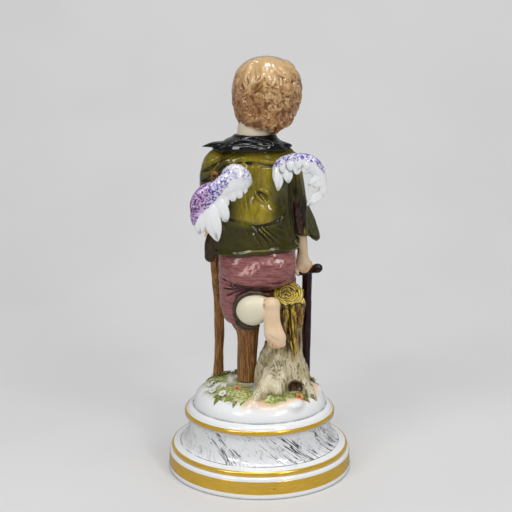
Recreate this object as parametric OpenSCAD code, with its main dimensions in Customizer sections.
// Porcelain figurine of a winged child with a peg leg, a crutch and a cane, on a round gilded plinth.
// Millimetres. +Z is up, +Y is the way the child faces, +X is the child's right-hand side,
// and the origin is the centre of the foot ring. Each module is one moulded, thrown or
// hand-modelled piece that is stuck to its neighbours with slip before firing.

/* [Plinth] */
// Radius of the foot ring
foot_r = 47.3; // [46.5:0.1:48]
// Width of the foot ring
foot_ring_w = 5; // [4:0.5:6]
// Height of the plain gilded foot band
band_h = 9.3; // [9:0.1:9.6]
// Radius of the marbled cove at its waist
cove_waist_r = 36.4; // [35.5:0.1:37]
// Radius of the gilded upper rim
rim_r = 38.6; // [38:0.1:39.5]
// Thickness of the porcelain wall
wall = 4; // [3:0.5:5]

/* [Ground] */
// Radius of the mound where it leaves the plinth
mound_r = 34.2; // [33.5:0.1:35]
// Height of the mound above the plinth
mound_h = 11; // [10.5:0.1:11.5]

/* [Sticks] */
// Radius of the crutch
crutch_r = 2.5; // [2.2:0.05:2.7]
// Radius of the cane
cane_r = 2.5; // [2.2:0.05:2.7]
// Radius of the peg leg at its foot
peg_r = 4.35; // [4:0.05:4.6]

/* [Figure] */
// Half the width of the head with its curls
head_half_w = 17.4; // [17:0.1:18]
// Height of the crown above the foot ring
crown_z = 210; // [209:0.5:211]

/* [Hidden] */

cove_foot_r = 41.1;  // radius of the marbled cove at its foot
shoulder_z = 13.9;   // top of the plinth's lower step
rim_z = 29;          // underside of the gilded rim
plinth_h = 33.5;     // top of the plinth, where the mound is stuck on
bead_r = 1.2;        // radius of the round mouldings
round_fn = 96;
seam = 0.15;         // thickness of a seam of slip

peg_at = [-6.8, 1];
crutch_at = [-22, 15.5];
cane_at = [24.6, 17];
sole_at = [12, 17];
head_at = [3.8, 3, 193];
face_turn = -18;     // how far the face is turned to the child's right

// ---- helpers ----

function unit(v) = v / norm(v);

// Points of an elliptical arc round the centre c, from angle a0 to a1
function arc(c, rx, ry, a0, a1, steps) =
    [for (i = [0 : steps]) let (a = a0 + (a1 - a0) * i / steps) [c[0] + rx * cos(a), c[1] + ry * sin(a)]];

// Height of the mound's surface at the distance r from the axis
function mound_z(r) = plinth_h + mound_h * sqrt(1 - pow(min(r, mound_r) / mound_r, 5));

// The point of the mound's surface above p
function on_mound(p) = [p[0], p[1], mound_z(norm([p[0], p[1]]))];

// The way a path runs at its point i
function heading(path, i) = unit(path[min(i + 1, len(path) - 1)] - path[max(i - 1, 0)]);

// A closed skin over rings of as many points each, with its two ends closed to the points foot and top
module skin(rings, foot, top) {
    sides = len(rings[0]);
    last = len(rings) - 1;
    points = [for (ring = rings) each ring];
    walls = [for (i = [0 : last - 1], k = [0 : sides - 1], half = [0, 1])
        let (n = (k + 1) % sides, low = i * sides, high = low + sides)
        half == 0 ? [low + k, high + k, high + n] : [low + k, high + n, low + n]];
    ends = [for (k = [0 : sides - 1], end = [0, 1])
        let (n = (k + 1) % sides, high = last * sides, centre = len(points) + end)
        end == 0 ? [centre, k, n] : [centre, high + n, high + k]];
    polyhedron(concat(points, [foot, top]), concat(walls, ends));
}

// A round or flattened tube along a path. radii holds [half width, half depth] for each point,
// and side is the way in which the half width is measured.
module tube(path, radii, side = [1, 0, 0], sides = 16) {
    rings = [for (i = [0 : len(path) - 1])
        let (t = heading(path, i), u = unit(side - (side * t) * t), v = cross(t, u))
        [for (k = [0 : sides - 1])
            path[i] + radii[i][0] * cos(360 * k / sides) * u + radii[i][1] * sin(360 * k / sides) * v]];
    skin(rings, path[0], path[len(path) - 1]);
}

// Level rings one above the other, each [x, y, z, half width, half depth]
module stack(levels, sides = 24) {
    rings = [for (l = levels) [for (k = [0 : sides - 1])
        [l[0] + l[3] * cos(360 * k / sides), l[1] + l[4] * sin(360 * k / sides), l[2]]]];
    foot = levels[0];
    top = levels[len(levels) - 1];
    skin(rings, [foot[0], foot[1], foot[2]], [top[0], top[1], top[2]]);
}

// A ball with its own half sizes along X, Y and Z
module ball(c, r, steps = 8, sides = 20) {
    stack([for (i = [0 : steps]) let (a = 168 * i / steps - 84)
        [c[0], c[1], c[2] + r[2] * sin(a), r[0] * cos(a), r[1] * cos(a)]], sides);
}

// Joins what it holds into one closed skin of flat facets
module one_skin() {
    resize([0, 0, 0]) union() children();
}

// All the clay that lies below the mound's surface
module below_ground() {
    rotate_extrude($fn = 48)
        polygon(concat([[0, 30], [mound_r, 30]],
                       [for (a = [90 : -10 : 0]) [mound_r * sin(a), mound_z(mound_r * sin(a)) + seam]]));
}

// ---- plinth and ground ----

// The plinth's outline: foot, gilded band, bead, marbled cove and gilded rim
function plinth_outline() = concat(
    [[foot_r - foot_ring_w, 0], [foot_r - 0.4, 0], [foot_r, 0.4], [foot_r, 1.6], [foot_r - 0.2, 2],
     [foot_r - 0.6, band_h]],
    arc([foot_r - 2.4, band_h], 1.8, 1.6, 0, 90, 6),
    arc([foot_r - 2.9, band_h + 1.6 + bead_r], bead_r, bead_r, -80, 90, 8),
    [[cove_foot_r + 0.5, shoulder_z + 0.1]],
    arc([cove_foot_r, rim_z - 2.5], cove_foot_r - cove_waist_r, rim_z - 2.5 - shoulder_z - 0.3, 268, 180, 14),
    arc([cove_foot_r - 1.2, rim_z - 2.5], cove_foot_r - cove_waist_r - 1.2, 2.2, 180, 110, 5),
    arc([rim_r - bead_r, rim_z + bead_r], bead_r, bead_r, -90, 80, 8),
    arc([mound_r, rim_z + 2 * bead_r], rim_r - bead_r - mound_r, plinth_h - rim_z - 2 * bead_r, 10, 88, 8));

// The hollow under the plinth, open at the foot
function plinth_hollow() =
    let (mouth_r = foot_r - foot_ring_w, waist_r = cove_waist_r - wall)
    [[mouth_r, -1], [mouth_r, 6], [waist_r, 16], [waist_r, plinth_h - wall], [0, plinth_h - wall], [0, -1]];

module plinth() {
    color("white") difference() {
        rotate_extrude($fn = round_fn) polygon(concat([[0, 0]], plinth_outline(), [[0, plinth_h]]));
        rotate_extrude($fn = round_fn) polygon(plinth_hollow());
    }
}

module ground_mound() {
    outline = [for (a = [0 : 6 : 90]) [mound_r * sin(a), mound_z(mound_r * sin(a))]];
    color("honeydew") rotate_extrude($fn = round_fn) polygon(concat([[0, plinth_h]], outline));
}

// ---- tree stump ----

stump_path = [[11.6, -3, 36], [11.4, -3, 43], [11.3, -3.2, 48], [11.3, -3.5, 55], [12.4, -3.8, 65],
              [13, -4, 74], [13.9, -4, 84], [14.2, -4, 102]];
stump_radii = [[16.4, 13.5], [15.5, 12.8], [13.8, 11.8], [12, 10.6], [9.9, 9.2], [9, 8.5], [8.3, 8.2], [8.6, 8.2]];
cut_at = [14, -12, 88.4];   // the near edge of the sawn face
cut_tilt = 26;

module stump_trunk() { tube(stump_path, stump_radii, sides = 24); }

module stump_roots() {
    tube([[9, -6, 58], [7, -11, 51], [4, -16, 46.5], [0.5, -21.5, 43.4], [-2.4, -26, 41], [-4.4, -29, 37.5]],
         [[4, 4], [5.4, 4.6], [5.2, 4.4], [3.8, 3.2], [2.4, 2], [1.2, 1.2]], sides = 14);
    tube([[16, -6, 56], [20, -9, 48], [24, -12, 43], [27.5, -14, 37]],
         [[4, 4], [5, 4.6], [4.2, 3.8], [2, 2]], sides = 12);
}

module tree_stump() {
    color("tan") one_skin() difference() {
        union() {
            stump_trunk();
            stump_roots();
        }
        translate(cut_at) rotate([cut_tilt, 0, 0]) translate([-30, -30, 0]) cube([60, 60, 40]);
        below_ground();
    }
}

// ---- peg leg, crutch and cane ----

module peg_leg() {
    foot = on_mound(peg_at) + [0, 0, seam];
    color("sienna") one_skin() difference() {
        tube([foot, foot + [0.4, 0, 11], foot + [0.8, 0, 23], foot + [0.6, 0.4, 29], foot + [-0.6, 0.8, 33.6],
              foot + [-1, 1, 36.4]],
             [[peg_r, peg_r], [4.7, 4.7], [5.1, 5.1], [6.2, 6], [7.8, 7.6], [8.4, 8.4]], sides = 24);
        left_knee();
    }
}

// The bent knee, which sits in the cup at the top of the peg leg
module left_knee() { ball([-7.4, 2, 84.5], [8.4, 9, 8.6], sides = 18, steps = 6); }

armpit = [-23, 6, 149.5];

module crutch_shaft() {
    foot = on_mound(crutch_at) + [0, 0, seam];
    color("saddlebrown")
        tube([foot, foot + [0.5, -0.3, 12], foot + [0.9, -0.8, 25], foot + [0.6, -1.6, 40], foot + [-0.7, -3.4, 56],
              foot + [-1.8, -5.4, 72], foot + [-1.8, -7.6, 88], armpit - [0, 0, 2.2]],
             [for (k = [1.1, 0.96, 1.04, 1.06, 0.98, 0.92, 0.9, 0.9]) [k, k] * crutch_r]);
}

module crutch_armrest() {
    color("peru") one_skin() difference() {
        tube([armpit + [0, 10, -1], armpit + [0, 9, -1], armpit + [0, 4, 0], armpit + [0, -4, 1],
              armpit + [0.6, -12, 2.2], armpit + [1, -17.6, 3], armpit + [1, -18.6, 3.1]],
             [[1.2, 1.2], [2, 2], [2.2, 2.2], [2.1, 2.1], [2, 2], [2.2, 2.2], [1.2, 1.2]], sides = 14);
        crutch_shaft();
    }
}

cane_top = [24.7, 12, 99.4];

module cane_shaft() {
    foot = on_mound(cane_at) + [0, 0, seam];
    color("black") tube([foot, (foot + cane_top) / 2, cane_top], [[0.76, 0.76], [0.95, 0.95], [1, 1]] * cane_r);
}

module cane_handle() {
    color("black") one_skin() difference() {
        tube([cane_top + [-4.6, -2, 0.6], cane_top + [-4, -2, 0.8], cane_top + [0, -1, 1.6],
              cane_top + [3.2, -2, 2.2], cane_top + [5, -3, 2.8], cane_top + [5.8, -3.4, 3.1]],
             [[1, 1], [1.8, 1.8], [2, 2], [1.9, 1.9], [2.3, 2.3], [1.3, 1.3]], side = [0, 1, 0], sides = 14);
        cane_shaft();
    }
}

// ---- clothes ----

module breeches_form() {
    stack([[-1.4, 1.5, 94, 12, 9], [-1.4, 1.5, 98, 17.6, 13], [-1.4, 1, 107, 19.6, 14.4], [-1.6, 1, 118, 19.4, 14]]);
    stack([[-9, 2.6, 80.4, 10.4, 11.4], [-9.2, 2.6, 83, 10.8, 11.8], [-9.6, 2.2, 90, 10.6, 12], [-10, 2, 98, 10.4, 12],
           [-10, 2, 108, 10, 12]]);
    stack([[12, 14, 73, 7, 6.8], [12, 13.5, 78, 7.4, 7.2], [11.6, 12, 88, 8, 8], [9.6, 8, 98, 9, 9.6],
           [8, 5, 108, 9.6, 11]]);
}

module breeches() {
    color("rosybrown") one_skin() difference() {
        union() breeches_form();
        stump_trunk();
        peg_leg();
        left_leg_form();
        right_leg_form();
        jacket_form();
    }
}

// The calf that points backwards from the knee, and the foot that hangs down from it
module left_leg_form() {
    left_knee();
    tube([[-6, 0, 84.5], [-5, -4, 84.8], [-4.2, -8, 84.8], [-3.4, -11, 84.6], [-1, -13.6, 85], [2, -15.4, 86],
          [4, -16.2, 87]],
         [[8, 7], [8, 7], [8, 6.8], [7.4, 6.4], [6.4, 5.6], [5, 4.6], [3, 3]], side = [0, 0, 1], sides = 18);
    tube([[5.6, -15, 92.4], [5.5, -15.6, 91], [5.5, -16.4, 86], [6.3, -17.2, 79], [7.3, -17.6, 73.4],
          [8.6, -17.2, 69.2], [9.2, -17, 67.6]],
         [[1.6, 1.6], [3.4, 3.2], [3.9, 3.8], [4.3, 3.1], [5, 2.8], [4.4, 2.2], [2.2, 1.2]]);
}

module left_leg() {
    color("bisque") one_skin() difference() {
        left_leg_form();
        stump_trunk();
    }
}

module right_leg_form() {
    heel = on_mound(sole_at);
    tube([[12, 14, 80], [12, 14.6, 68], [12, 14.6, 58], [12, 14.4, 51], [12, 14.6, 46.4], [12, 14.6, 44.6]],
         [[5.4, 5.4], [5.6, 5.6], [5, 5], [3.7, 3.9], [3.8, 4.2], [3, 3.4]], sides = 18);
    tube([heel + [0, -6, 1.4], heel + [0, -3.6, 2.4], heel + [0.6, 2, 2.2], heel + [1.4, 7, 0.8], heel + [2, 9.6, -0.6]],
         [[2, 2], [3.4, 3.4], [4, 3], [4.6, 2], [3.4, 1.2]]);
}

module right_leg() {
    color("bisque") one_skin() difference() {
        right_leg_form();
        below_ground();
        stump_trunk();
    }
}

module jacket_form() {
    stack([[-1.8, 1, 112, 21.6, 16.4], [-1.8, 1, 115, 21.6, 16], [-2.4, 0.5, 125, 20, 15], [-3.6, 0, 137, 19.2, 14.4],
           [-4, 0, 149, 19.8, 14], [-4, 0, 157, 19.6, 12.8], [-3.8, 0, 162.4, 16, 10.8], [-3, 0, 165.6, 10, 9]], 28);
}

// The jacket's open front edge, which hangs down past the crutch
module jacket_flap() {
    tube([[-19, -3, 132], [-22, -3.4, 126], [-23.8, -3, 119], [-24.6, -2.4, 112.6], [-24.8, -2.2, 110.2]],
         [[1.4, 2], [2.2, 2.8], [2.8, 3], [2.6, 2.6], [1.6, 1.6]]);
}

module jacket() {
    color("olivedrab") one_skin() difference() {
        union() {
            jacket_form();
            jacket_flap();
        }
        shirt_form();
        neck_form();
        crutch_armrest();
        crutch_shaft();
    }
}

// The shirt that fills the open front of the jacket
module shirt_form() {
    tube([[-2.4, 12.6, 114], [-2.4, 12, 126], [-3.4, 11.4, 140], [-3.6, 10, 152], [-3.2, 7.2, 162.4]],
         [[7, 5], [6.4, 5], [5.6, 4.6], [5, 4.6], [4.6, 4]]);
}

module shirt_front() {
    color("ivory") one_skin() difference() {
        shirt_form();
        breeches_form();
        neck_form();
    }
}

// The turned-down collar, whose left point stands out past the shoulder
module collar() {
    color("black") one_skin() difference() {
        union() {
            stack([[-4.6, 0, 163, 19.4, 14.4], [-4.4, 0, 165.2, 18.2, 13.6], [-3.4, 0, 168.2, 13.6, 11.8],
                   [-2.4, 0.4, 170.6, 11.4, 10.6], [-2.4, 0.4, 171.6, 10.6, 10]]);
            tube([[-16, 0, 166.4], [-22, -0.6, 166.2], [-26, -0.4, 165.6], [-27.6, 0, 165.6]],
                 [[6, 1.4], [4.4, 1.1], [2, 0.8], [0.6, 0.4]], side = [0, 1, 0], sides = 12);
        }
        jacket_form();
        neck_form();
        shirt_form();
        left_sleeve_form();
        right_sleeve_form();
    }
}

// ---- arms ----

module left_sleeve_form() {
    tube([[-16, 0, 159.6], [-20.4, 0.6, 157.6], [-23, 2.4, 151.6], [-24, 6, 145], [-23.6, 10.4, 138], [-22.8, 13, 133]],
         [[5, 5], [7.6, 7.2], [6.8, 7.2], [6.2, 6.8], [5.8, 6.2], [5.6, 5.8]], sides = 18);
}

module left_sleeve() {
    color("darkolivegreen") one_skin() difference() {
        left_sleeve_form();
        jacket_form();
        crutch_shaft();
        crutch_armrest();
    }
}

// The forearm with the hand that holds the crutch
module left_forearm() {
    grip = [-23.4, 10.4, 122.6];
    color("bisque") one_skin() difference() {
        union() {
            tube([[-23.2, 12, 135], [-23, 13.4, 130], [-23.2, 13, 126.4]], [[3.6, 3.6], [3.3, 3.3], [3, 3]], sides = 14);
            tube([grip + [0, 1.6, 5], grip + [0, 1.4, 3.6], grip + [0, 0.6, 0], grip + [0, 0, -3.4], grip + [0, 0, -4.8]],
                 [[2.4, 2.4], [3.8, 3.8], [4.6, 4.6], [4.2, 4.4], [2.4, 2.4]]);
        }
        left_sleeve_form();
        crutch_shaft();
    }
}

module right_sleeve_form() {
    tube([[11, 0.6, 159.6], [13.6, 1, 157.4], [16.4, 1.6, 149], [18, 2.4, 140], [20, 3.4, 130], [22.4, 4.6, 120]],
         [[5, 5], [6.6, 7], [6.4, 7], [6, 7], [6.8, 7.4], [8.4, 8.2]], sides = 18);
}

module right_sleeve() {
    color("darkolivegreen") one_skin() difference() {
        right_sleeve_form();
        jacket_form();
        right_forearm_form();
    }
}

// The forearm with the hand that rests on the cane
module right_forearm_form() {
    tube([[21.4, 6, 132], [21.8, 8, 120], [22.6, 10.2, 111], [22.8, 11.2, 106]],
         [[4, 4], [3.8, 3.8], [3.3, 3.3], [3, 3]], sides = 14);
    tube([[22.8, 11, 107.6], [22.8, 11, 106], [23, 11, 103.4], [23.2, 11, 99.6], [23.2, 11, 97.8]],
         [[2.6, 2.4], [3.6, 3.4], [4.6, 4.2], [4.2, 4], [2.4, 2.4]]);
}

module right_forearm() {
    color("bisque") one_skin() difference() {
        right_forearm_form();
        cane_shaft();
        cane_handle();
    }
}

// ---- head ----

module neck_form() {
    stack([[-2.4, 0, 161, 9.6, 9], [-2.2, 0, 170, 9.8, 9.2], [-1.4, 1, 176, 10, 9.4], [1, 2.4, 182, 10, 10]], 20);
}

function around_head(v) =
    head_at + [v[0] * cos(face_turn) - v[1] * sin(face_turn), v[0] * sin(face_turn) + v[1] * cos(face_turn), v[2]];

module head_form() {
    neck_form();
    ball(around_head([0, 4.4, -3]), [12.6, 12.6, 15], steps = 10, sides = 24);
}

// The face and neck in one, inside the cap of curls
module head() {
    color("bisque") one_skin() difference() {
        head_form();
        shirt_form();
    }
}

// Each level is [x, z, half width, half depth], the last two as shares of the head's half width
hair_levels = [[2, 174.6, 0.46, 0.42], [2, 177, 0.7, 0.62], [2.6, 180.5, 0.85, 0.8], [3.3, 185, 0.96, 0.94],
               [3.8, 193, 1, 1], [3.9, 198, 0.95, 0.96], [3.4, 203, 0.81, 0.83], [3.3, 207, 0.56, 0.58],
               [3.3, 209.4, 0.28, 0.3], [3.3, 210, 0.08, 0.08]];

module hair_form() {
    stack([for (l = hair_levels) [l[0], head_at[1], l[1] + crown_z - 210, l[2] * head_half_w, l[3] * head_half_w]], 28);
}

module hair() {
    color("peru") one_skin() difference() {
        hair_form();
        head_form();
        translate(around_head([0, 17, -12])) rotate(face_turn) cube([20, 20, 24], center = true);
    }
}

// ---- wings ----

module left_wing_form() {
    tube([[-6.5, -14, 149.4], [-8.4, -16.4, 150], [-13, -19, 149.8], [-18.6, -21, 146.4], [-24, -22.4, 144.4],
          [-29, -23, 141], [-31, -23, 136]],
         [[4, 1.8], [7, 3], [7.8, 3.6], [5.6, 3.2], [6.2, 3], [4.6, 2.6], [2, 1.4]], side = [0, 0, 1], sides = 16);
    plume([-30.4, -23, 139], [-29.2, -23, 126.4], 2.6);
    plume([-24.6, -22.4, 142], [-20.4, -22.4, 123.4], 3.4);
    plume([-20, -21, 145], [-16.6, -21.6, 133], 2.8);
    plume([-14, -19, 147], [-12.4, -20, 141.2], 2.8);
}

module left_wing() {
    color("plum") one_skin() difference() {
        left_wing_form();
        jacket_form();
    }
}

module right_wing_form() {
    tube([[8, -12.6, 155], [10, -14.6, 157.6], [15, -16.6, 159.6], [21, -17.6, 159.8], [26.4, -17.4, 157],
          [29.4, -17, 152.4], [30.4, -16.6, 147], [29.6, -16.2, 143.4]],
         [[3, 1.6], [4.4, 2.8], [4.8, 3.2], [4.5, 3.2], [4, 3], [2.8, 2.6], [1.9, 1.8], [1, 1]],
         side = [-0.5, 0, 1], sides = 16);
    plume([10, -15, 157], [9.2, -16.4, 145.2], 3);
    plume([13.4, -16.4, 157], [13, -17.4, 150.4], 2.4);
    plume([18, -17, 158], [18.6, -17.8, 153.6], 2.6);
    plume([29.4, -16.8, 152.6], [23.2, -17.2, 148.2], 2.2);
    plume([30.4, -16.2, 146], [22.6, -15.6, 138], 2.2);
}

module right_wing() {
    color("plum") one_skin() difference() {
        right_wing_form();
        jacket_form();
        right_sleeve_form();
    }
}

// One long feather from its root to its tip, flattened front to back
module plume(from, to, half_w) {
    bow = [0, -1, 0];
    across = unit(cross(to - from, [0, 1, 0]));
    tube([from, from * 0.55 + to * 0.45 + bow, from * 0.2 + to * 0.8 + bow, to],
         [[half_w, 1.2], [half_w * 1.1, 1.1], [half_w * 0.75, 0.9], [half_w * 0.2, 0.4]], side = across, sides = 10);
}

// ---- leaves, grass and blossoms on the mound ----

// Each sprig is [x, y, the way it points]
leaf_places = [[-21.2, -20.8, 230], [-16.1, -9, 120], [-13.8, -18.5, 250], [-10.7, -23, 215], [-8.2, -27.2, 235],
               [-11.6, -27, 240], [-6.8, -20.8, 20], [-15.2, -23.2, 200], [18.7, -18.8, 300], [16, -25.4, 250],
               [11.4, -24.6, 190], [22.6, -18.6, 340], [-26, 12, 160], [-12, 24, 120], [2, 28, 60], [19, 20, 30]];
leaf_l = 6.4;

module leaf(place) {
    way = [cos(place[2]), sin(place[2]), 0];
    mid = on_mound(place) + [0, 0, 1.3];
    tail = on_mound(place - way * leaf_l / 2) + [0, 0, 0.8];
    tip = on_mound(place + way * leaf_l / 2) + [0, 0, 0.9];
    tube([tail, mid, mid * 0.4 + tip * 0.6 + [0, 0, 0.2], tip],
         [[0.5, 0.4], [1.6, 0.5], [1.3, 0.45], [0.3, 0.3]], side = [-way[1], way[0], 0], sides = 8);
}

module leaf_sprigs() {
    color("olive") one_skin() difference() {
        union() { for (p = leaf_places) leaf([p[0], p[1], p[2]]); }
        below_ground();
        stump_roots();
    }
}

tuft_places = [[-18.6, 11], [-12.6, 10.4], [27, 8], [30, 0], [18, 24], [-24, -2]];

// Five separate blades that lean outwards round the middle of the tuft
module grass_tuft(place) {
    for (k = [0 : 4]) {
        lean = [cos(72 * k), sin(72 * k), 0];
        foot = on_mound([place[0] + 1.3 * lean[0], place[1] + 1.3 * lean[1]]) + [0, 0, 0.3];
        tube([foot, foot + lean * 0.5 + [0, 0, 1.4], foot + lean * 1.8 + [0, 0, 2.8]],
             [[0.55, 0.4], [0.5, 0.4], [0.15, 0.15]], side = [-lean[1], lean[0], 0], sides = 6);
    }
}

module grass_tufts() {
    color("darkseagreen") one_skin() { for (p = tuft_places) grass_tuft(p); }
}

// Five round petals about a raised eye, tipped outwards by the slope of the mound
module blossom(place) {
    lean = norm(place) > 24 ? 24 : 10;
    translate(on_mound(place) + [0, 0, 1.8]) rotate([0, 0, atan2(place[1], place[0])]) rotate([0, lean, 0]) {
        linear_extrude(0.7) for (k = [0 : 4]) rotate(72 * k) translate([1.3, 0]) circle(r = 1.05, $fn = 20);
        cylinder(r = 0.7, h = 1.3, $fn = 20);
    }
}

module white_blossoms() {
    color("white") for (p = [[-25.1, -4], [-23.6, -13], [-18.4, -11.4], [-18.4, -18.6], [-6, 27], [22, 22]]) blossom(p);
}

module orange_blossoms() {
    color("coral") for (p = [[-11.4, -15.2], [19.6, -20.8], [27, 14]]) blossom(p);
}

plinth();
ground_mound();
tree_stump();
peg_leg();
crutch_shaft();
crutch_armrest();
cane_shaft();
cane_handle();
breeches();
left_leg();
right_leg();
jacket();
shirt_front();
collar();
left_sleeve();
right_sleeve();
left_forearm();
right_forearm();
head();
hair();
left_wing();
right_wing();
leaf_sprigs();
grass_tufts();
white_blossoms();
orange_blossoms();
